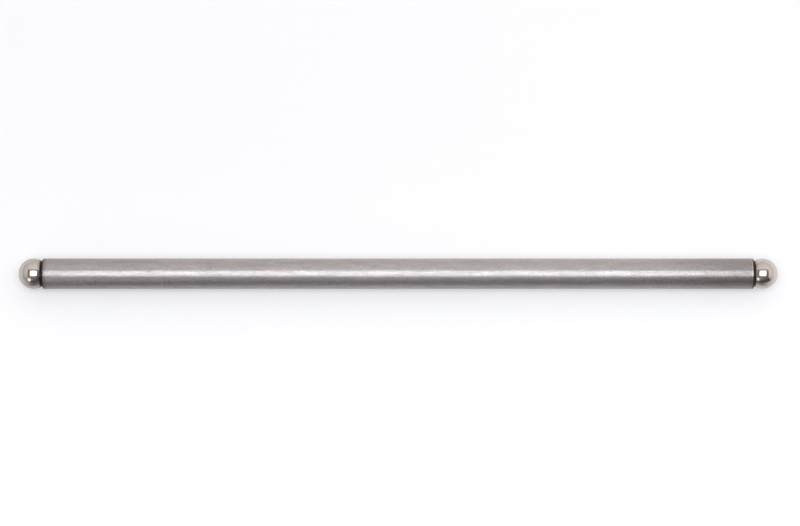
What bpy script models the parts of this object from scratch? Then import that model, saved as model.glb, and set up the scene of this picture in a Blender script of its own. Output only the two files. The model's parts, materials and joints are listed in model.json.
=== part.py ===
"""Engine pushrod for a small V8: a straight steel tube with a drilled steel ball welded to each end.

The rod carries the lifter's lift up to the rocker arm, and oil for the rocker runs through it.
It lies along X, at its real size in metres, with +Z up. The origin is the centre of the
lifter's ball, the point about which the rod swings, and the rocker's ball is at +X.
"""

import math

import bpy

# Driving dimensions
LENGTH_OVER_BALLS = 0.19812  # 7.8 in, over two whole balls, before their tips are drilled
TUBE_DIAMETER = 0.0079375  # 5/16 in
TUBE_WALL = 0.001524  # 0.060 in
BALL_DIAMETER = 0.0079375  # 5/16 in
OIL_HOLE_DIAMETER = 0.0020

# Joint between a ball and the tube
SHOULDER_DEPTH = 0.0021  # from the ball's centre to the flat that faces the tube
WELD_SEAM = 0.0003  # between that flat and the tube's end
PILOT_CLEARANCE = 0.0003  # between the ball's stub and the bore that centres it
PILOT_LENGTH = 0.0056
PILOT_CHAMFER = 0.0004

# Broken edges
OIL_HOLE_CHAMFER = 0.00012
TUBE_END_CHAMFER = 0.0002
BORE_CHAMFER = 0.00025

# Fineness of the turned surfaces
TURN_STEPS = 64
BALL_ARC_STEPS = 24
SHARP_ANGLE = math.radians(20)
MERGE_DISTANCE = 0.000001

# Sizes that follow from them
TUBE_RADIUS = TUBE_DIAMETER / 2
BORE_RADIUS = TUBE_RADIUS - TUBE_WALL
BALL_RADIUS = BALL_DIAMETER / 2
OIL_HOLE_RADIUS = OIL_HOLE_DIAMETER / 2
PILOT_RADIUS = BORE_RADIUS - PILOT_CLEARANCE
BALL_SPACING = LENGTH_OVER_BALLS - BALL_DIAMETER
TUBE_LENGTH = BALL_SPACING - 2 * (SHOULDER_DEPTH + WELD_SEAM)

# A turned piece is modelled with its axis along Z, and these lay it along the rod
FACING_ROCKER = (0, math.pi / 2, 0)
FACING_LIFTER = (0, -math.pi / 2, 0)


def clear_scene():
    for thing in list(bpy.data.objects):
        bpy.data.objects.remove(thing, do_unlink=True)


def bare_steel(name, colour, roughness):
    material = bpy.data.materials.new(name)
    material.use_nodes = True
    shader = material.node_tree.nodes["Principled BSDF"]
    shader.inputs["Base Color"].default_value = (*colour, 1)
    shader.inputs["Metallic"].default_value = 1
    shader.inputs["Roughness"].default_value = roughness
    return material


def section_mesh(name, section):
    """Half a turned piece's section as a closed outline of (radius, height) points."""
    points = [(radius, 0, height) for radius, height in section]
    edges = [(i, (i + 1) % len(points)) for i in range(len(points))]
    mesh = bpy.data.meshes.new(name)
    mesh.from_pydata(points, edges, [])
    return mesh


def turned_mesh(name, section, material):
    """Turns a section about Z, and shades it smooth between its sharp edges."""
    blank = bpy.data.objects.new(name, section_mesh(name + "_section", section))
    bpy.context.scene.collection.objects.link(blank)
    turn = blank.modifiers.new("turn", "SCREW")
    turn.axis = "Z"
    turn.steps = TURN_STEPS
    turn.render_steps = TURN_STEPS
    turn.use_merge_vertices = True
    turn.merge_threshold = MERGE_DISTANCE
    finished = blank.evaluated_get(bpy.context.evaluated_depsgraph_get())
    mesh = bpy.data.meshes.new_from_object(finished)
    bpy.data.objects.remove(blank, do_unlink=True)
    mesh.shade_smooth()
    mesh.set_sharp_from_angle(angle=SHARP_ANGLE)
    mesh.materials.append(material)
    return mesh


def place(name, mesh, collection, x, facing):
    """Puts a turned piece on the rod's axis, at its distance from the lifter's ball."""
    piece = bpy.data.objects.new(name, mesh)
    piece.location.x = x
    piece.rotation_euler = facing
    collection.objects.link(piece)
    return piece


def tube_section():
    """The wall, down its outside from one end and back up the bore."""
    half_length = TUBE_LENGTH / 2
    top_end = [
        (BORE_RADIUS, half_length - BORE_CHAMFER),
        (BORE_RADIUS + BORE_CHAMFER, half_length),
        (TUBE_RADIUS - TUBE_END_CHAMFER, half_length),
        (TUBE_RADIUS, half_length - TUBE_END_CHAMFER),
    ]
    bottom_end = [(radius, -height) for radius, height in reversed(top_end)]
    return top_end + bottom_end


def ball_end_section():
    """Drilled tip, ball, shoulder and stub, about the ball's centre with the tip on top."""
    mouth_angle = math.asin((OIL_HOLE_RADIUS + OIL_HOLE_CHAMFER) / BALL_RADIUS)
    shoulder_angle = math.acos(-SHOULDER_DEPTH / BALL_RADIUS)
    arc_step = (shoulder_angle - mouth_angle) / BALL_ARC_STEPS
    angles = [mouth_angle + arc_step * i for i in range(BALL_ARC_STEPS + 1)]
    ball = [(BALL_RADIUS * math.sin(a), BALL_RADIUS * math.cos(a)) for a in angles]
    mouth_height = BALL_RADIUS * math.cos(mouth_angle)
    stub_end = -SHOULDER_DEPTH - WELD_SEAM - PILOT_LENGTH
    stub = [
        (PILOT_RADIUS, -SHOULDER_DEPTH),
        (PILOT_RADIUS, stub_end + PILOT_CHAMFER),
        (PILOT_RADIUS - PILOT_CHAMFER, stub_end),
    ]
    oil_hole = [
        (OIL_HOLE_RADIUS, stub_end),
        (OIL_HOLE_RADIUS, mouth_height - OIL_HOLE_CHAMFER),
    ]
    return ball + stub + oil_hole


def build_pushrod():
    clear_scene()
    pushrod = bpy.data.collections.new("engine_pushrod")
    bpy.context.scene.collection.children.link(pushrod)

    ground_steel = bare_steel("ground_tube_steel", (0.48, 0.45, 0.43), 0.3)
    polished_steel = bare_steel("polished_ball_steel", (0.62, 0.57, 0.54), 0.08)

    tube = turned_mesh("tube", tube_section(), ground_steel)
    ball_end = turned_mesh("ball_end", ball_end_section(), polished_steel)

    place("tube", tube, pushrod, BALL_SPACING / 2, FACING_ROCKER)
    place("lifter_ball_end", ball_end, pushrod, 0, FACING_LIFTER)
    place("rocker_ball_end", ball_end, pushrod, BALL_SPACING, FACING_ROCKER)


build_pushrod()
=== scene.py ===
"""Looks of an engine pushrod: a ground steel tube, a ball welded to each end, and a plain studio."""

import json
import math

import bmesh
import bpy
from mathutils import Matrix, Vector, noise


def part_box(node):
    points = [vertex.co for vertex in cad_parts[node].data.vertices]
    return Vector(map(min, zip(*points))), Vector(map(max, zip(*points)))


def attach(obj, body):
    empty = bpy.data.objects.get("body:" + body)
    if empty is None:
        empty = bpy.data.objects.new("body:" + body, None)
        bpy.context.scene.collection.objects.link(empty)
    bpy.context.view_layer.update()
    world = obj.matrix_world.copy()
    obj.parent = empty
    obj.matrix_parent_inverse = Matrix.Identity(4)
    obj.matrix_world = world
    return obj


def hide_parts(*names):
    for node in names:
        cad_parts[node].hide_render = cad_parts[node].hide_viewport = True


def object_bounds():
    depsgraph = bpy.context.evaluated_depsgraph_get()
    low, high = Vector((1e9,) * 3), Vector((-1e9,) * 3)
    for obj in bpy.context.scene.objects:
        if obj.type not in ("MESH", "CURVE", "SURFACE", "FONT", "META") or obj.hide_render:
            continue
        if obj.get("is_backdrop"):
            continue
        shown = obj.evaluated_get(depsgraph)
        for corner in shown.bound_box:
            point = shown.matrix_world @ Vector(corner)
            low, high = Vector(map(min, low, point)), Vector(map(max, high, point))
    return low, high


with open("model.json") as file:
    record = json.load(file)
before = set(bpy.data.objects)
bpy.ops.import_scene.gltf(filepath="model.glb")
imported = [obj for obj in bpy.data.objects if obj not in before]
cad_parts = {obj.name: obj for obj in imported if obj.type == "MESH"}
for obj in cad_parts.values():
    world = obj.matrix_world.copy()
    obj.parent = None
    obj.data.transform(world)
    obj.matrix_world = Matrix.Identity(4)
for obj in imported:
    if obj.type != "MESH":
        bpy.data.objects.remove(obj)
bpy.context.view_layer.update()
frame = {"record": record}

bl_info = {
    "name": "Engine Pushrod",
    "version": (1, 0, 0),
    "blender": (4, 5, 0),
    "location": "View3D > Sidebar > Pushrod",
    "description": "Makes a welded ball pushrod and a studio to see it in",
    "category": "Object",
}

BODY = "root"
MM = 0.001

# The rod, measured on the frame
TUBE_LOW, TUBE_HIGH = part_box("tube")
LIFTER_LOW, LIFTER_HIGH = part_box("lifter_ball_end")
ROCKER_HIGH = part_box("rocker_ball_end")[1]
LIFTER_CENTRE = Vector(frame["record"]["mounts"][0]["pos_m"])
TIP_DEPTH = LIFTER_CENTRE.x - LIFTER_LOW.x
ROCKER_CENTRE = Vector((ROCKER_HIGH.x - TIP_DEPTH, 0, 0))
TUBE_MIDDLE = (TUBE_LOW.x + TUBE_HIGH.x) / 2
TUBE_RADIUS = (TUBE_HIGH.z - TUBE_LOW.z) / 2
TUBE_HALF_LENGTH = (TUBE_HIGH.x - TUBE_LOW.x) / 2
BALL_RADIUS = (LIFTER_HIGH.z - LIFTER_LOW.z) / 2
STUB_REACH = LIFTER_HIGH.x - LIFTER_CENTRE.x
TUBE_END_DEPTH = TUBE_LOW.x - LIFTER_CENTRE.x

# Rounds on its edges
TUBE_EDGE_ROUND = 0.07 * MM
TUBE_FACE_ROUND = 0.05 * MM
SHOULDER_ROUND = 0.06 * MM
STUB_ROUND = 0.3 * MM
HOLE_ROUND = 0.04 * MM
ROUND_STEPS = 4

# The weld's bead
BEAD_RISE = 0.06 * MM
BEAD_SWELL = 0.05 * MM
BEAD_LUMP = 0.5 * MM
BEAD_ROOT_GAP = 0.3 * MM
BEAD_STEPS = 10
BEAD_OTHER_LUMPS = 100  # times a ball's place, so that the two beads differ

# What the weld's heat has coloured, from the first trace to the full colour. On the tube these are
# distances past its end, so they are below nought, and on a ball they are distances from its centre
TUBE_STRAW = (-1.4 * MM, -0.6 * MM)
TUBE_SCALE = (-0.38 * MM, -0.26 * MM)
BALL_STRAW = (TUBE_END_DEPTH - 1.3 * MM, TUBE_END_DEPTH - 0.4 * MM)
BALL_SCALE = (TUBE_END_DEPTH - 0.65 * MM, TUBE_END_DEPTH - 0.33 * MM)
ROCKER_TUBE_SPREAD = 0.10 * MM  # how much further it went on the rocker's end of the tube
LIFTER_BALL_SPREAD = 0.14 * MM  # and on the lifter's ball, as it fell short on the rocker's
BALL_HEAT_RAGGED = 0.3 * MM

# A painted highlight on the rocker end's edge, given past the tube's end, its top across the rod
EDGE_HIGHLIGHT_FROM = (-0.64 * MM, -0.52 * MM)
EDGE_HIGHLIGHT_TO = (-0.40 * MM, -0.30 * MM)
EDGE_HIGHLIGHT_TOP = (-1.9 * MM, -1.3 * MM)
# Where handling has left the steel smoother towards either end, and where its colour darkens towards them
ROCKER_SMOOTHED = (ROCKER_CENTRE.x - 75 * MM, ROCKER_CENTRE.x - 30 * MM)
LIFTER_SMOOTHED = (LIFTER_CENTRE.x, LIFTER_CENTRE.x + 110 * MM)
ROCKER_DARKENED = (ROCKER_CENTRE.x - 38 * MM, ROCKER_CENTRE.x - 3 * MM)
LIFTER_DARKENED = (LIFTER_CENTRE.x + 2 * MM, LIFTER_CENTRE.x + 100 * MM)

# The photograph's frame, and where the rod lies in it
PHOTO_WIDTH_PX = 800
PHOTO_HEIGHT_PX = 526
ROD_LEFT_PX = 19.3
ROD_RIGHT_PX = 777.0
ROD_AXIS_PX = 273.7

# The studio in metres, as its reflections in the balls show it
SOFTBOX_DISTANCE = 1.4
SOFTBOX_ANGLE_ACROSS = math.radians(50.0)  # as the rod sees it
SOFTBOX_ANGLE_UP = math.radians(38.5)
SOFTBOX_OFF_MIDDLE = 0.01
LIP_WIDTH = 0.42
LIP_MORE_ON_RIGHT = 0.28
LIP_MORE_ON_LEFT = 0.32
SIDE_LAMP_WAY = Vector((-0.50, -0.75, 0.37))
SIDE_LAMP_DISTANCE = 1.1
SIDE_LAMP_DIAMETER = 0.42
CARD_DISTANCE = 1.2
CARD_FOOT = 0.02
CARD_HEAD = 2.0
CARD_LEFT = math.radians(42)  # how far the front card reaches round to either side
CARD_RIGHT = math.radians(54)
CARD_STEPS = 24
FLOOR_REACH = 4.0
FLOOR_CELLS = 8
CAMERA_REACH = 20

# Where the paper, the card and the lip change their shade, in metres on the object's axes
PAPER_PAST_LEFT = (LIFTER_LOW.x - 16 * MM, LIFTER_LOW.x)
PAPER_PAST_RIGHT = (ROCKER_HIGH.x, ROCKER_HIGH.x + 16 * MM)
PAPER_DIM_FRONT = (-0.030, -0.001)
PAPER_DIM_LEFT = (LIFTER_LOW.x, 0.050)
PAPER_PAINTED_LIGHT_ACROSS = (0.0, 0.2)
PAPER_PAINTED_LIGHT_FRONT = (-0.060, 0.040)
CARD_ACROSS = (-0.9, 0.6)
CARD_UP = (0.0, 1.3)
CARD_LEFT_END = (-0.75, -0.30)
LIP_RIGHT = (0.2, 0.7)
LIP_FAR_LEFT = (-0.9, -0.55)
LIP_BACK = (0.0, 0.35)
LIP_LEFT_END = (-0.70, -0.20)

# Settings of a Map Range that eases from one value to another, as (input, low, high, to low, to high)
EASED = {"interpolation_type": "SMOOTHSTEP"}

# Settings of a Mix that blends two colours, and its sockets
OF_COLOURS = {"data_type": "RGBA"}
FACTOR, FIRST, SECOND = 0, 6, 7

# Fineness of the turned shapes
SIDES = 256
BALL_ARC_STEPS = 96
SHARP_ANGLE = math.radians(30)
END_FACE_LEAST = 0.98  # how far along the rod the normal of an end face points, at the least
MERGE_DISTANCE = 0.0000005


def linear(code):
    """A linear colour, opaque, from an sRGB hex code."""
    channels = [int(code[i:i + 2], 16) / 255 for i in (1, 3, 5)]
    return (*(c / 12.92 if c <= 0.04045 else ((c + 0.055) / 1.055) ** 2.4 for c in channels), 1.0)


def colour_property(name, code, description):
    return bpy.props.FloatVectorProperty(
        name=name, description=description, subtype="COLOR", size=4, min=0, max=1, default=linear(code)
    )


def length_property(name, metres, description):
    return bpy.props.FloatProperty(
        name=name, description=description, subtype="DISTANCE", unit="LENGTH",
        min=0, default=metres, precision=5,
    )


def angle_property(name, degrees, description):
    return bpy.props.FloatProperty(
        name=name, description=description, subtype="ANGLE", unit="ROTATION", default=math.radians(degrees)
    )


def power_property(name, watts, description):
    return bpy.props.FloatProperty(name=name, description=description, unit="POWER", min=0, default=watts)


class PushrodSizes(bpy.types.PropertyGroup):
    bore_diameter: length_property("Bore", 0.0048895, "Inside diameter of the tube")
    tube_end_round: length_property("Tube end round", 0.00026, "Broken edge round the tube's end, along it")
    tube_end_relief: length_property("Tube end relief", 0.00016, "How far the broken edge cuts into the wall")
    bore_chamfer: length_property("Bore chamfer", 0.00025, "Lead-in that guides the ball's stub")
    oil_hole_diameter: length_property("Oil hole", 0.0020, "Hole drilled along the axis of each ball")
    oil_hole_round: length_property("Oil hole round", 0.00012, "Broken edge at the mouth of the oil hole")
    stub_diameter: length_property("Stub", 0.0042895, "Stub of the ball that the bore centres")
    seam_width: length_property("Seam", 0.0003, "Gap between ball and tube that the weld closes")
    seam_depth: length_property("Seam depth", 0.0001, "How far the weld lies below the ball's shoulder")


class PushrodColours(bpy.types.PropertyGroup):
    tube_warm: colour_property("Tube", "#BAB7BA", "Ground steel of the tube")
    tube_cool: colour_property("Tube, cooler", "#B5B4B8", "Ground steel where handling has dulled it")
    ball: colour_property("Ball", "#C7C2C1", "Polished steel of the balls")
    heat_straw: colour_property("Heat, straw", "#7F7771", "Oxide furthest from the weld")
    heat_blue: colour_property("Heat, blue", "#4E4F5E", "Bluish oxide, in patches on the weld")
    weld: colour_property("Weld", "#3A3230", "Dark oxide on the weld and close beside it")
    bore: colour_property("Bore", "#6B6663", "Steel inside the bore and the oil holes")
    floor: colour_property("Floor", "#D4D8DD", "Paper that the rod lies on")
    card: colour_property("Card", "#E3D9D3", "Grey card that stands in front")
    card_shade: colour_property("Card, shaded", "#6A686A", "The end of the card that gets less light")
    room: colour_property("Room", "#FFF7F0", "Pale walls")


class PushrodStudio(bpy.types.PropertyGroup):
    lens_mm: bpy.props.FloatProperty(
        name="Lens", description="Focal length in millimetres", unit="CAMERA", default=135.0
    )
    tilt: angle_property("Tilt", 12.0, "Camera's lean from straight above, towards the front")
    softbox_lean: angle_property("Softbox lean", 9.5, "Softbox's lean from straight above, towards the front")
    softbox_power: power_property("Softbox", 9.8, "Radiant power of the softbox")
    lamp_power: power_property("Side lamp", 0.58, "Radiant power of the side lamp")
    room_strength: bpy.props.FloatProperty(
        name="Room", description="Light from the pale room", min=0, default=0.73
    )


def add(tree, kind, inputs=(), **settings):
    """Adds a shader node with its settings and links, and returns it.

    An input takes a plain value, an output to link from, or a node, and then its first enabled output.
    """
    made = tree.nodes.new("ShaderNode" + kind)
    for name, value in settings.items():
        setattr(made, name, value)
    for key, value in inputs.items() if isinstance(inputs, dict) else enumerate(inputs):
        if isinstance(value, bpy.types.Node):
            value = next(output for output in value.outputs if output.enabled)
        if isinstance(value, bpy.types.NodeSocket):
            tree.links.new(value, made.inputs[key])
        else:
            made.inputs[key].default_value = value
    return made


def new_material(name):
    """A new material, its empty node tree, and a point's place on the object, in metres."""
    material = bpy.data.materials.new(name)
    material.use_nodes = True
    tree = material.node_tree
    tree.nodes.clear()
    return material, tree, add(tree, "TexCoord").outputs["Object"]


def grain(tree, place, size_mm, detail=2.0, roughness=0.5, at=(0, 0, 0)):
    """A pattern of blotches that are size_mm long in X, Y and Z."""
    scale = tuple(1 / (length * MM) for length in size_mm)
    stretched = add(tree, "Mapping", {"Vector": place, "Location": at, "Scale": scale})
    noise_sockets = {"Vector": stretched, "Scale": 1.0, "Detail": detail, "Roughness": roughness}
    return add(tree, "TexNoise", noise_sockets).outputs["Fac"]


def ground_tube_steel(colours):
    """Centreless-ground steel: fine lines run round the tube, so highlights smear along it.

    Faint streaks along the tube are left from its drawing.
    """
    material, tree, place = new_material("centreless_ground_steel")
    axes = add(tree, "SeparateXYZ", (place,)).outputs
    x, y = axes["X"], axes["Y"]

    # Both kinds of mark are a few hundredths of a millimetre apart; drawn coarser, so that they show
    scratches = grain(tree, place, (0.35, 0.10, 0.10), detail=2.0, at=(1.7, 0.3, 0.9))
    marks = grain(tree, place, (1.5, 0.40, 0.40), detail=3.0, roughness=0.6)
    mottling = grain(tree, place, (4.5, 1.3, 1.3), detail=3.0, roughness=0.55, at=(5.3, 0.6, 0.2))
    drawn_lines = grain(tree, place, (7.0, 0.35, 0.35), detail=3.0, at=(0.4, 0.1, 0.7))

    # Smooth and scratched metal lie side by side, so a highlight has a bright core and a soft skirt
    rough = add(tree, "MapRange", (scratches, 0.28, 0.70, 0.25, 0.57), **EASED)
    streaks = add(tree, "Math", (mottling, drawn_lines), operation="ADD")
    streaked = add(tree, "MapRange", (streaks, 0.7, 1.3, -0.02, 0.02), **EASED)
    rough = add(tree, "Math", (rough, streaked), operation="ADD")
    rough = add(tree, "Math", (rough, smoothed_ends(tree, x)), operation="SUBTRACT")

    texture = add(tree, "Math", (streaks, marks), operation="ADD")
    tint = tube_tint(tree, place, x, texture, colours)
    tint = heated_ends(tree, x, y, tint, colours)

    relief = add(tree, "Math", (marks, 0.3, mottling), operation="MULTIPLY_ADD")
    relief = add(tree, "Math", (drawn_lines, 0.2, relief), operation="MULTIPLY_ADD")
    bump = add(tree, "Bump", {"Height": relief, "Strength": 0.34, "Distance": 0.010 * MM})
    around = add(tree, "Tangent", direction_type="RADIAL", axis="X")
    shader = add(tree, "BsdfPrincipled", {
        "Base Color": tint, "Metallic": 0.84, "Roughness": rough, "Normal": bump,
        "Anisotropic": 0.2, "Anisotropic Rotation": 0.25, "Tangent": around,
    })
    add(tree, "OutputMaterial", {"Surface": shader})
    return material


def smoothed_ends(tree, x):
    """How much less rough handling has left the steel, near either end."""
    near_rocker = add(tree, "MapRange", (x, *ROCKER_SMOOTHED, 0.0, 0.040), **EASED)
    near_lifter = add(tree, "MapRange", (x, *LIFTER_SMOOTHED, 0.045, 0.0), **EASED)
    return add(tree, "Math", (near_rocker, near_lifter), operation="ADD")


def tube_tint(tree, place, x, texture, colours):
    """The ground steel's colour: warmer and cooler by turns, darker in its marks and near its ends."""
    handling = grain(tree, place, (14.0, 5.0, 5.0), detail=3.0, at=(3.1, 0.2, 0.5))
    cooler = add(tree, "MapRange", (handling, 0.35, 0.65, 0.0, 1.0), **EASED)
    warm, cool = colours.tube_warm, colours.tube_cool
    tint = add(tree, "Mix", {FACTOR: cooler, FIRST: warm, SECOND: cool}, **OF_COLOURS)
    darker = add(tree, "MapRange", (texture, 1.1, 1.9, 0.0, 0.30), **EASED)
    tint = add(tree, "Mix", {FACTOR: darker, FIRST: tint, SECOND: linear("#6F6A68")}, **OF_COLOURS)
    # The colour darkens towards either end, most at the rocker's
    near_rocker = add(tree, "MapRange", (x, *ROCKER_DARKENED, 0.0, 0.42), **EASED)
    near_lifter = add(tree, "MapRange", (x, *LIFTER_DARKENED, 0.13, 0.0), **EASED)
    darkened = add(tree, "Math", (near_rocker, near_lifter), operation="ADD")
    return add(tree, "Mix", {FACTOR: darkened, FIRST: tint, SECOND: linear("#6B635F")}, **OF_COLOURS)


def heated_ends(tree, x, y, tint, colours):
    """The tint with the oxide that the welds have left on the tube's ends, and a painted highlight on one
    edge.
    """
    near_rocker = add(tree, "MapRange", (x, LIFTER_CENTRE.x, ROCKER_CENTRE.x, 0.0, 1.0), **EASED)
    from_middle = add(tree, "Math", (x, TUBE_MIDDLE), operation="SUBTRACT")
    from_middle = add(tree, "Math", (from_middle,), operation="ABSOLUTE")
    past_end = add(tree, "Math", (from_middle, TUBE_HALF_LENGTH), operation="SUBTRACT")
    past_end = add(tree, "Math", (near_rocker, ROCKER_TUBE_SPREAD, past_end), operation="MULTIPLY_ADD")

    # The straw is stronger at the lifter's end
    strength = add(tree, "MapRange", (near_rocker, 0.0, 1.0, 0.66, 0.26), **EASED)
    straw = add(tree, "MapRange", (past_end, *TUBE_STRAW, 0.0, 1.0), **EASED)
    straw = add(tree, "Math", (straw, strength), operation="MULTIPLY")
    tint = add(tree, "Mix", {FACTOR: straw, FIRST: tint, SECOND: colours.heat_straw}, **OF_COLOURS)
    # Painted highlight: the rocker end's last edge is painted pale on its top
    edge_highlight = painted_edge_highlight(tree, y, past_end, near_rocker)
    tint = add(tree, "Mix", {FACTOR: edge_highlight, FIRST: tint, SECOND: linear("#F4F3F2")}, **OF_COLOURS)
    scale = add(tree, "MapRange", (past_end, *TUBE_SCALE, 0.0, 1.0), **EASED)
    return add(tree, "Mix", {FACTOR: scale, FIRST: tint, SECOND: colours.weld}, **OF_COLOURS)


def painted_edge_highlight(tree, y, past_end, near_rocker):
    """Painted highlight: a pale line on top of the rocker end's last edge, in place of its reflection."""
    starts = add(tree, "MapRange", (past_end, *EDGE_HIGHLIGHT_FROM, 0.0, 1.0), **EASED)
    stops = add(tree, "MapRange", (past_end, *EDGE_HIGHLIGHT_TO, 0.0, 1.0), **EASED)
    edge = add(tree, "Math", (starts, stops), operation="SUBTRACT")
    on_top = add(tree, "MapRange", (y, *EDGE_HIGHLIGHT_TOP, 0.0, 0.28), **EASED)
    edge = add(tree, "Math", (edge, on_top), operation="MULTIPLY")
    return add(tree, "Math", (edge, near_rocker), operation="MULTIPLY")


def polished_ball_steel(colours, centre, outward):
    """Lapped bearing steel: a near mirror, straw and then brown where the weld has heated it."""
    material, tree, place = new_material("lapped_ball_steel")
    # Lapping leaves marks of a few thousandths of a millimetre; drawn coarser, so that they show
    lapping = grain(tree, place, (0.5, 0.5, 0.5), detail=4.0, roughness=0.65)
    rough = add(tree, "MapRange", (lapping, 0.3, 0.7, 0.10, 0.15), **EASED)

    # How far a point is from the ball's centre towards the tube, with a ragged edge to the heat
    x = add(tree, "SeparateXYZ", (place,)).outputs["X"]
    offset = add(tree, "Math", (x, centre.x), operation="SUBTRACT")
    further = -outward * LIFTER_BALL_SPREAD
    heat = add(tree, "Math", (offset, -outward, further), operation="MULTIPLY_ADD")
    ragged = add(tree, "Math", (lapping, 0.5), operation="SUBTRACT")
    heat = add(tree, "Math", (ragged, BALL_HEAT_RAGGED, heat), operation="MULTIPLY_ADD")
    straw = add(tree, "MapRange", (heat, *BALL_STRAW, 0.0, 0.55), **EASED)
    tint = add(tree, "Mix", {FACTOR: straw, FIRST: colours.ball, SECOND: colours.heat_straw}, **OF_COLOURS)
    brown = add(tree, "MapRange", (heat, *BALL_SCALE, 0.0, 1.0), **EASED)
    tint = add(tree, "Mix", {FACTOR: brown, FIRST: tint, SECOND: colours.weld}, **OF_COLOURS)

    bump = add(tree, "Bump", {"Height": lapping, "Strength": 0.10, "Distance": 0.003 * MM})
    sockets = {"Base Color": tint, "Metallic": 1.0, "Roughness": rough, "Normal": bump}
    shader = add(tree, "BsdfPrincipled", sockets)
    add(tree, "OutputMaterial", {"Surface": shader})
    return material


def weld_oxide(colours):
    """Resistance weld left as made: dark scale with small beads, nearly dull."""
    material, tree, place = new_material("weld_scale")
    beads = grain(tree, place, (0.25, 0.25, 0.25), detail=4.0, roughness=0.7)
    bluer = add(tree, "MapRange", (beads, 0.35, 0.7, 0.0, 1.0), **EASED)
    tint = add(tree, "Mix", {FACTOR: bluer, FIRST: colours.weld, SECOND: colours.heat_blue}, **OF_COLOURS)
    rough = add(tree, "MapRange", (beads, 0.3, 0.7, 0.45, 0.65), **EASED)
    bump = add(tree, "Bump", {"Height": beads, "Strength": 0.5, "Distance": 0.02 * MM})
    sockets = {"Base Color": tint, "Metallic": 0.7, "Roughness": rough, "Normal": bump}
    shader = add(tree, "BsdfPrincipled", sockets)
    add(tree, "OutputMaterial", {"Surface": shader})
    return material


def cut_steel(colours):
    """Sawn and drilled faces that are never polished: grey, partly painted shade, with rings from the tool.
    """
    material, tree, place = new_material("cut_steel")
    tool_marks = grain(tree, place, (0.12, 1.5, 1.5), detail=2.0)
    darker = add(tree, "MapRange", (tool_marks, 0.3, 0.7, 0.0, 0.5), **EASED)
    # Darker than the outside steel, partly painted shade, as these faces lie in the bore, the oil holes and
    # the joints
    tint = add(tree, "Mix", {FACTOR: darker, FIRST: colours.bore, SECOND: linear("#4A4543")}, **OF_COLOURS)
    rough = add(tree, "MapRange", (tool_marks, 0.3, 0.7, 0.32, 0.5), **EASED)
    shader = add(tree, "BsdfPrincipled", {"Base Color": tint, "Metallic": 1.0, "Roughness": rough})
    add(tree, "OutputMaterial", {"Surface": shader})
    return material


def paper(colours):
    """White paper, matt. It glows a little, because the photograph's exposure nearly bleaches it."""
    material, tree, place = new_material("seamless_paper")
    axes = add(tree, "SeparateXYZ", (place,)).outputs
    x, y = axes["X"], axes["Y"]
    # Fibres settle into faint clouds a millimetre or two across
    clouds = grain(tree, place, (1.5, 1.5, 1.5), detail=3.0)
    fibres = add(tree, "MapRange", (clouds, 0.3, 0.7, 0.0, 0.03), **EASED)
    tint = add(tree, "Mix", {FACTOR: fibres, FIRST: colours.floor, SECOND: linear("#C6CACF")}, **OF_COLOURS)
    light = add(tree, "LightPath").outputs
    glossy = add(tree, "Math", (light["Is Glossy Ray"], light["Is Transmission Ray"]), operation="MAXIMUM")

    # Steel reflects the paper's dim front end, which is out of the picture, less so past the rod's ends
    past_left = add(tree, "MapRange", (x, *PAPER_PAST_LEFT, 1.0, 0.0), **EASED)
    past_right = add(tree, "MapRange", (x, *PAPER_PAST_RIGHT, 0.0, 1.0), **EASED)
    beside = add(tree, "Math", (past_left, past_right), operation="ADD")
    front = add(tree, "MapRange", (y, *PAPER_DIM_FRONT, 0.9, 0.0), **EASED)
    less_beside = add(tree, "MapRange", (beside, 0.0, 1.0, 1.0, 0.45), **EASED)
    front = add(tree, "Math", (front, less_beside), operation="MULTIPLY")
    left = add(tree, "MapRange", (x, *PAPER_DIM_LEFT, 0.20, 0.0), **EASED)
    dim = add(tree, "Math", (front, left), operation="ADD")
    dim = add(tree, "Math", (dim, glossy), operation="MULTIPLY")
    tint = add(tree, "Mix", {FACTOR: glossy, FIRST: tint, SECOND: linear("#DBD9D6")}, **OF_COLOURS)
    tint = add(tree, "Mix", {FACTOR: dim, FIRST: tint, SECOND: colours.card_shade}, **OF_COLOURS)

    white, warmer = linear("#FFFFFF"), linear("#FFFAF6")
    glow_tint = add(tree, "Mix", {FACTOR: glossy, FIRST: white, SECOND: warmer}, **OF_COLOURS)
    # Painted light: the glow rises to the right and in front of the rod, and in reflections it is less by the
    # rod and more past its ends
    glow_and_painted_light_across = add(tree, "MapRange", (x, *PAPER_PAINTED_LIGHT_ACROSS, 0.24, 0.27), **EASED)
    painted_light_in_front = add(tree, "MapRange", (y, *PAPER_PAINTED_LIGHT_FRONT, 0.070, 0.0), **EASED)
    glow = add(tree, "Math", (glow_and_painted_light_across, painted_light_in_front), operation="ADD")
    painted_reflection_beside = add(tree, "MapRange", (beside, 0.0, 1.0, -0.08, 0.10), **EASED)
    glow = add(tree, "Math", (glossy, painted_reflection_beside, glow), operation="MULTIPLY_ADD")
    undimmed = add(tree, "Math", (glossy, dim), operation="SUBTRACT")
    seen = add(tree, "Math", (light["Is Camera Ray"], undimmed), operation="MAXIMUM")
    glow = add(tree, "Math", (seen, glow), operation="MULTIPLY")
    shader = add(tree, "BsdfPrincipled", {
        "Base Color": tint, "Roughness": 0.9, "Specular IOR Level": 0.2,
        "Emission Color": glow_tint, "Emission Strength": glow,
    })
    add(tree, "OutputMaterial", {"Surface": shader})
    return material


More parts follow.
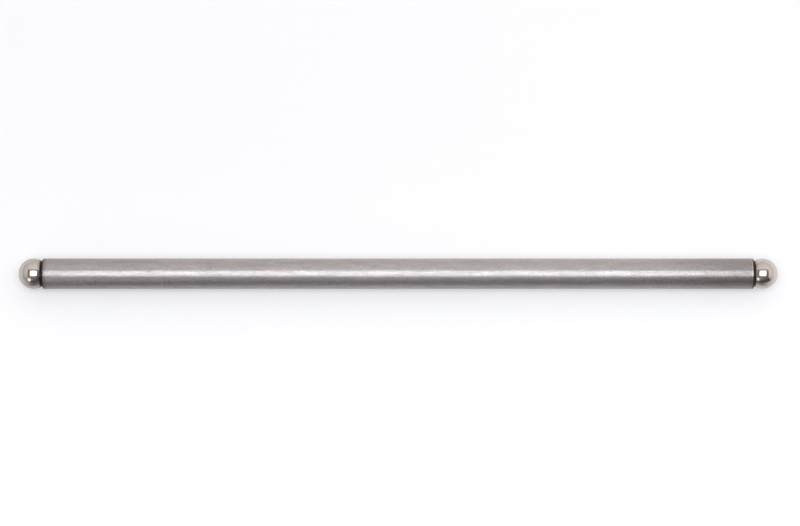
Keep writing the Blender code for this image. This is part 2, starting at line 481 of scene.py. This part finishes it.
def grey_card(colours):
    """Grey card, matt: takes the light away from the front of uncoated metal, more so at its shaded end."""
    material, tree, place = new_material("grey_card")
    axes = add(tree, "SeparateXYZ", (place,)).outputs
    x, z = axes["X"], axes["Z"]
    side = add(tree, "MapRange", (x, *CARD_ACROSS, 0.20, 0.65), **EASED)
    foot = add(tree, "MapRange", (z, *CARD_UP, 0.68, 0.0), **EASED)
    less_on_left = add(tree, "MapRange", (x, *CARD_LEFT_END, 0.2, 1.0), **EASED)
    shaded = add(tree, "Math", (foot, less_on_left, side), operation="MULTIPLY_ADD")
    tint = add(tree, "Mix", {FACTOR: shaded, FIRST: colours.card, SECOND: colours.card_shade}, **OF_COLOURS)
    shader = add(tree, "BsdfPrincipled", {"Base Color": tint, "Roughness": 1.0, "Specular IOR Level": 0.1})
    add(tree, "OutputMaterial", {"Surface": shader})
    return material


def dark_nylon():
    """Nylon lip of the softbox, matt: a dark line round its reflection, darkest on the right."""
    material, tree, place = new_material("dark_nylon")
    axes = add(tree, "SeparateXYZ", (place,)).outputs
    x, y = axes["X"], axes["Y"]
    # The weave is half a millimetre apart; drawn coarser, so that it shows in so small a reflection
    weave = grain(tree, place, (3.0, 3.0, 3.0), detail=2.0)
    right = add(tree, "MapRange", (x, *LIP_RIGHT, 0.48, 0.82), **EASED)
    far_left = add(tree, "MapRange", (x, *LIP_FAR_LEFT, 0.14, 0.0), **EASED)
    shade = add(tree, "Math", (right, far_left), operation="ADD")
    back = add(tree, "MapRange", (y, *LIP_BACK, 0.0, 0.45), **EASED)
    less_on_left = add(tree, "MapRange", (x, *LIP_LEFT_END, 0.0, 1.0), **EASED)
    back = add(tree, "Math", (back, less_on_left), operation="MULTIPLY")
    shade = add(tree, "Math", (shade, back), operation="SUBTRACT")
    shade = add(tree, "Math", (weave, 0.05, shade), operation="MULTIPLY_ADD")
    pale, dark = linear("#F0ECE8"), linear("#8F8A88")
    tint = add(tree, "Mix", {FACTOR: shade, FIRST: pale, SECOND: dark}, **OF_COLOURS)
    shader = add(tree, "BsdfPrincipled", {"Base Color": tint, "Roughness": 0.8})
    add(tree, "OutputMaterial", {"Surface": shader})
    return material


def pale_room(studio, colours):
    """A pale room, lightest behind the rod and on its right."""
    world = bpy.data.worlds.new("pale_room")
    world.use_nodes = True
    tree = world.node_tree
    tree.nodes.clear()
    way = add(tree, "TexCoord").outputs["Generated"]
    x, y, z = add(tree, "SeparateXYZ", (way,)).outputs
    depth = add(tree, "MapRange", (y, -1.0, 0.0, -0.32, 0.04), **EASED)
    level = add(tree, "Math", (depth, studio.room_strength), operation="ADD")
    level = add(tree, "Math", (x, 0.12, level), operation="MULTIPLY_ADD")
    level = add(tree, "Math", (z, 0.34, level), operation="MULTIPLY_ADD")
    shade = add(tree, "Background", {"Color": colours.room, "Strength": level})
    add(tree, "OutputWorld", {"Surface": shade})
    return world


def turned_shape(points):
    """Turns a closed line of (along, out) points through a full circle about the rod's axis."""
    shape = bmesh.new()
    corners = [shape.verts.new((along, 0, out)) for along, out in points]
    for pair in zip(corners, corners[1:] + corners[:1]):
        shape.edges.new(pair)
    bmesh.ops.spin(
        shape, geom=shape.verts[:] + shape.edges[:], cent=(0, 0, 0), axis=(1, 0, 0),
        angle=math.tau, steps=SIDES, use_merge=True, use_duplicate=False,
    )
    bmesh.ops.remove_doubles(shape, verts=shape.verts[:], dist=MERGE_DISTANCE)
    bmesh.ops.recalc_face_normals(shape, faces=shape.faces[:])
    return shape


def ring_edges(shape, along, out):
    """The edges of the circle that a corner at (along, out) has been turned into."""
    near = MERGE_DISTANCE * 4

    def on_ring(vertex):
        radius = math.hypot(vertex.co.y, vertex.co.z)
        return abs(vertex.co.x - along) < near and abs(radius - out) < near

    return [edge for edge in shape.edges if on_ring(edge.verts[0]) and on_ring(edge.verts[1])]


def round_ring(shape, along, out, width):
    bmesh.ops.bevel(
        shape, geom=ring_edges(shape, along, out), offset=width, offset_type="OFFSET",
        affect="EDGES", segments=ROUND_STEPS, profile=0.5, material=-1,
    )


def set_in_place(shape, centre, outward):
    """Moves a shape that was made about the origin, tip towards +X, to its own end of the rod."""
    if outward < 0:
        half_turn = Matrix.Rotation(math.pi, 3, "Z")
        bmesh.ops.rotate(shape, verts=shape.verts[:], cent=(0, 0, 0), matrix=half_turn)
    bmesh.ops.translate(shape, verts=shape.verts[:], vec=centre)


def finish_piece(shape, name, materials):
    """Makes a piece of a finished shape, smooth between its sharp edges, on the rod's one body."""
    mesh = bpy.data.meshes.new(name)
    shape.to_mesh(mesh)
    shape.free()
    for material in materials:
        mesh.materials.append(material)
    mesh.shade_smooth()
    mesh.set_sharp_from_angle(angle=SHARP_ANGLE)
    piece = bpy.data.objects.new(name, mesh)
    bpy.context.scene.collection.objects.link(piece)
    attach(piece, BODY)
    return piece


def tube_shape(sizes):
    """Ground outside, relieved end edges and bore. Its bore and end faces take the second material."""
    bore = sizes.bore_diameter / 2
    bore_mouth = bore + sizes.bore_chamfer
    face_edge = TUBE_RADIUS - sizes.tube_end_relief
    low, high = TUBE_LOW.x, TUBE_HIGH.x
    start = low + sizes.tube_end_round
    stop = high - sizes.tube_end_round
    shape = turned_shape([
        (low + sizes.bore_chamfer, bore), (low, bore_mouth), (low, face_edge), (start, TUBE_RADIUS),
        (stop, TUBE_RADIUS), (high, face_edge), (high, bore_mouth), (high - sizes.bore_chamfer, bore),
    ])
    for along in (start, stop):
        round_ring(shape, along, TUBE_RADIUS, TUBE_EDGE_ROUND)
    for along in (low, high):
        round_ring(shape, along, face_edge, TUBE_FACE_ROUND)
    for face in shape.faces:
        middle = face.calc_center_median()
        is_end_face = abs(face.normal.x) > END_FACE_LEAST
        face.material_index = int(math.hypot(middle.y, middle.z) < bore_mouth or is_end_face)
    return shape


def ball_shape(sizes, centre, outward):
    """Drilled ball with its shoulder and stub; outward is the X direction in which the tip points.

    Its oil hole, shoulder and stub take the second material.
    """
    hole = sizes.oil_hole_diameter / 2
    mouth = hole + sizes.oil_hole_round
    stub = sizes.stub_diameter / 2
    shoulder = TUBE_END_DEPTH - sizes.seam_width
    mouth_angle = math.asin(mouth / BALL_RADIUS)
    shoulder_angle = math.acos(-shoulder / BALL_RADIUS)
    arc_step = (shoulder_angle - mouth_angle) / BALL_ARC_STEPS
    arc = [mouth_angle + arc_step * i for i in range(BALL_ARC_STEPS + 1)]
    tip = BALL_RADIUS * math.cos(mouth_angle)
    points = [(tip - sizes.oil_hole_round, hole)]
    points += [(BALL_RADIUS * math.cos(a), BALL_RADIUS * math.sin(a)) for a in arc]
    points += [(-shoulder, stub), (-STUB_REACH, stub), (-STUB_REACH, hole)]
    shape = turned_shape(points)
    round_ring(shape, -shoulder, BALL_RADIUS * math.sin(shoulder_angle), SHOULDER_ROUND)
    round_ring(shape, -STUB_REACH, stub, STUB_ROUND)
    round_ring(shape, tip, mouth, HOLE_ROUND)
    drilled = hole + sizes.oil_hole_round / 4  # just outside the hole's wall
    for face in shape.faces:
        middle = face.calc_center_median()
        is_behind = middle.x < -shoulder + MERGE_DISTANCE
        face.material_index = int(math.hypot(middle.y, middle.z) < drilled or is_behind)
    set_in_place(shape, centre, outward)
    return shape


def weld_shape(sizes, centre, outward):
    """A low, uneven bead all round, from the ball's shoulder to the tube's end face."""
    shoulder = TUBE_END_DEPTH - sizes.seam_width
    shoulder_radius = math.sqrt(BALL_RADIUS ** 2 - shoulder ** 2)
    top = shoulder_radius - sizes.seam_depth
    root = sizes.stub_diameter / 2 + BEAD_ROOT_GAP
    points = [(-shoulder, root)]
    for i in range(BEAD_STEPS + 1):
        part = i / BEAD_STEPS
        points.append((-shoulder - sizes.seam_width * part, top + BEAD_RISE * math.sin(math.pi * part)))
    points.append((-TUBE_END_DEPTH, root))
    shape = turned_shape(points)
    other_lumps = centre * BEAD_OTHER_LUMPS
    for vertex in shape.verts:
        out = Vector((0, vertex.co.y, vertex.co.z))
        if out.length > top - MERGE_DISTANCE:
            swell = noise.noise(vertex.co / BEAD_LUMP + other_lumps) * BEAD_SWELL
            vertex.co += out.normalized() * swell
    set_in_place(shape, centre, outward)
    return shape


class PUSHROD_OT_tube(bpy.types.Operator):
    """Makes the ground steel tube"""
    bl_idname = "pushrod.make_tube"
    bl_label = "Tube"

    def execute(self, context):
        colours = context.scene.pushrod_colours
        materials = [ground_tube_steel(colours), cut_steel(colours)]
        tube = finish_piece(tube_shape(context.scene.pushrod_sizes), "ground_tube", materials)
        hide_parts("tube")
        return {"FINISHED"}


class PUSHROD_OT_balls(bpy.types.Operator):
    """Makes the polished ball at each end, with its oil hole, shoulder and stub"""
    bl_idname = "pushrod.make_balls"
    bl_label = "Ball ends"

    def execute(self, context):
        sizes, colours = context.scene.pushrod_sizes, context.scene.pushrod_colours
        for name, centre, outward in (("lifter_ball", LIFTER_CENTRE, -1), ("rocker_ball", ROCKER_CENTRE, 1)):
            materials = [polished_ball_steel(colours, centre, outward), cut_steel(colours)]
            ball = finish_piece(ball_shape(sizes, centre, outward), name, materials)
            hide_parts(name + "_end")
        return {"FINISHED"}


class PUSHROD_OT_welds(bpy.types.Operator):
    """Makes the bead that closes the seam between each ball and the tube"""
    bl_idname = "pushrod.make_welds"
    bl_label = "Welds"

    def execute(self, context):
        sizes, colours = context.scene.pushrod_sizes, context.scene.pushrod_colours
        for name, centre, outward in (("lifter_weld", LIFTER_CENTRE, -1), ("rocker_weld", ROCKER_CENTRE, 1)):
            finish_piece(weld_shape(sizes, centre, outward), name, [weld_oxide(colours)])
        return {"FINISHED"}


def lamp(name, kind, power, size, place, aim, colour):
    data = bpy.data.lights.new(name, "AREA")
    data.color = colour[:3]
    data.shape = kind
    data.energy = power
    data.size, data.size_y = size
    light = bpy.data.objects.new(name, data)
    light.location = place
    light.rotation_euler = (Vector(aim) - Vector(place)).to_track_quat("-Z", "Y").to_euler()
    light.visible_camera = False
    bpy.context.scene.collection.objects.link(light)
    return light


def stage_piece(name, shape, material):
    mesh = bpy.data.meshes.new(name)
    shape.to_mesh(mesh)
    shape.free()
    mesh.materials.append(material)
    made = bpy.data.objects.new(name, mesh)
    bpy.context.scene.collection.objects.link(made)
    made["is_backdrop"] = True
    return made


def only_reflected(piece):
    """The camera looks past a piece that would otherwise stand in its way, or show at an edge."""
    piece.visible_camera = False


def leaning_way(lean):
    """The direction that leans by an angle from straight above, towards the front."""
    return Vector((0, -math.sin(lean), math.cos(lean)))


def floor_shape(middle, height):
    shape = bmesh.new()
    bmesh.ops.create_grid(shape, x_segments=FLOOR_CELLS, y_segments=FLOOR_CELLS, size=FLOOR_REACH)
    bmesh.ops.translate(shape, verts=shape.verts[:], vec=(middle.x, 0, height))
    return shape


def card_shape(middle):
    """A tall card, curved round the front of the rod."""
    shape = bmesh.new()
    foot = shape.verts.new((middle.x, -CARD_DISTANCE, CARD_FOOT))
    head = shape.verts.new((middle.x, -CARD_DISTANCE, CARD_HEAD))
    shape.edges.new((foot, head))
    axis = (middle.x, 0, 0)
    bmesh.ops.rotate(shape, verts=shape.verts[:], cent=axis, matrix=Matrix.Rotation(-CARD_LEFT, 3, "Z"))
    bmesh.ops.spin(
        shape, geom=shape.verts[:] + shape.edges[:], cent=axis, axis=(0, 0, 1),
        angle=CARD_LEFT + CARD_RIGHT, steps=CARD_STEPS,
    )
    return shape


def lip_shape(width, height, turn, place):
    """The softbox's lip: a rectangle with its middle cut out, wider at its left and right."""
    shape = bmesh.new()
    bmesh.ops.create_grid(shape, x_segments=1, y_segments=1, size=0.5)
    outer_size = (width + LIP_WIDTH * 2, height + LIP_WIDTH * 2, 1)
    bmesh.ops.scale(shape, verts=shape.verts[:], vec=outer_size)
    bmesh.ops.inset_individual(shape, faces=shape.faces[:], thickness=LIP_WIDTH, use_even_offset=True)
    middle = min(shape.faces, key=lambda face: face.calc_center_median().length)
    bmesh.ops.delete(shape, geom=[middle], context="FACES")
    right_side = [vertex for vertex in shape.verts if vertex.co.x > width / 2 + MM]
    left_side = [vertex for vertex in shape.verts if vertex.co.x < -width / 2 - MM]
    bmesh.ops.translate(shape, verts=right_side, vec=(LIP_MORE_ON_RIGHT, 0, 0))
    bmesh.ops.translate(shape, verts=left_side, vec=(-LIP_MORE_ON_LEFT, 0, 0))
    bmesh.ops.rotate(shape, verts=shape.verts[:], cent=(0, 0, 0), matrix=turn)
    bmesh.ops.translate(shape, verts=shape.verts[:], vec=place)
    return shape


class PUSHROD_OT_stage(bpy.types.Operator):
    """Sets the floor, the room, the lights and the camera"""
    bl_idname = "pushrod.set_stage"
    bl_label = "Stage"

    def execute(self, context):
        scene, studio, colours = context.scene, context.scene.pushrod_studio, context.scene.pushrod_colours
        low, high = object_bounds()
        middle = (low + high) / 2
        stage_piece("floor", floor_shape(middle, low.z), paper(colours))
        only_reflected(stage_piece("front_card", card_shape(middle), grey_card(colours)))
        self.set_softbox(studio, middle)
        side = middle + SIDE_LAMP_WAY.normalized() * SIDE_LAMP_DISTANCE
        side_size = (SIDE_LAMP_DIAMETER, SIDE_LAMP_DIAMETER)
        lamp("side_lamp", "DISK", studio.lamp_power, side_size, side, middle, linear("#FFFFFF"))
        scene.world = pale_room(studio, colours)
        self.set_camera(scene, studio, low, high)
        scene.view_settings.view_transform = "Standard"
        return {"FINISHED"}

    def set_softbox(self, studio, middle):
        """Hangs the softbox over the rod, with its dark lip round it."""
        width = 2 * SOFTBOX_DISTANCE * math.tan(SOFTBOX_ANGLE_ACROSS / 2)
        height = 2 * SOFTBOX_DISTANCE * math.tan(SOFTBOX_ANGLE_UP / 2)
        aim = middle + Vector((SOFTBOX_OFF_MIDDLE, 0, 0))
        place = aim + leaning_way(studio.softbox_lean) * SOFTBOX_DISTANCE
        size, colour = (width, height), linear("#FAFCFF")
        softbox = lamp("softbox", "RECTANGLE", studio.softbox_power, size, place, aim, colour)
        turn = softbox.rotation_euler.to_matrix()
        only_reflected(stage_piece("softbox_rim", lip_shape(width, height, turn, place), dark_nylon()))

    def set_camera(self, scene, studio, low, high):
        """Stands the camera so that the rod's ends and axis fall on their pixels in the photograph."""
        data = bpy.data.cameras.new("camera")
        data.lens = studio.lens_mm
        data.clip_end = CAMERA_REACH
        camera = bpy.data.objects.new("camera", data)
        scene.collection.objects.link(camera)
        scene.camera = camera
        metres_per_px = (high.x - low.x) / (ROD_RIGHT_PX - ROD_LEFT_PX)
        distance = data.lens / data.sensor_width * PHOTO_WIDTH_PX * metres_per_px
        back = leaning_way(studio.tilt)
        up = Vector((0, math.cos(studio.tilt), math.sin(studio.tilt)))
        right_of_middle = PHOTO_WIDTH_PX / 2 - (ROD_LEFT_PX + ROD_RIGHT_PX) / 2
        above_axis = ROD_AXIS_PX - PHOTO_HEIGHT_PX / 2
        aim_x = (low.x + high.x) / 2 + right_of_middle * metres_per_px
        aim = Vector((aim_x, 0, 0)) + up * above_axis * metres_per_px
        camera.location = aim + back * distance
        camera.rotation_euler = (-back).to_track_quat("-Z", "Y").to_euler()


class PUSHROD_PT_panel(bpy.types.Panel):
    bl_label = "Engine Pushrod"
    bl_idname = "PUSHROD_PT_panel"
    bl_space_type = "VIEW_3D"
    bl_region_type = "UI"
    bl_category = "Pushrod"

    def draw(self, context):
        for step in STEPS:
            self.layout.operator(step.bl_idname)


GROUPS = {
    "pushrod_sizes": PushrodSizes,
    "pushrod_colours": PushrodColours,
    "pushrod_studio": PushrodStudio,
}
STEPS = (PUSHROD_OT_tube, PUSHROD_OT_balls, PUSHROD_OT_welds, PUSHROD_OT_stage)


def register():
    for made in (*GROUPS.values(), *STEPS, PUSHROD_PT_panel):
        bpy.utils.register_class(made)
    for name, group in GROUPS.items():
        setattr(bpy.types.Scene, name, bpy.props.PointerProperty(type=group))


def unregister():
    for name in GROUPS:
        delattr(bpy.types.Scene, name)
    for made in reversed((*GROUPS.values(), *STEPS, PUSHROD_PT_panel)):
        bpy.utils.unregister_class(made)


def main():
    register()
    bpy.ops.pushrod.make_tube()
    bpy.ops.pushrod.make_balls()
    bpy.ops.pushrod.make_welds()
    bpy.ops.pushrod.set_stage()


if __name__ == "__main__":
    main()
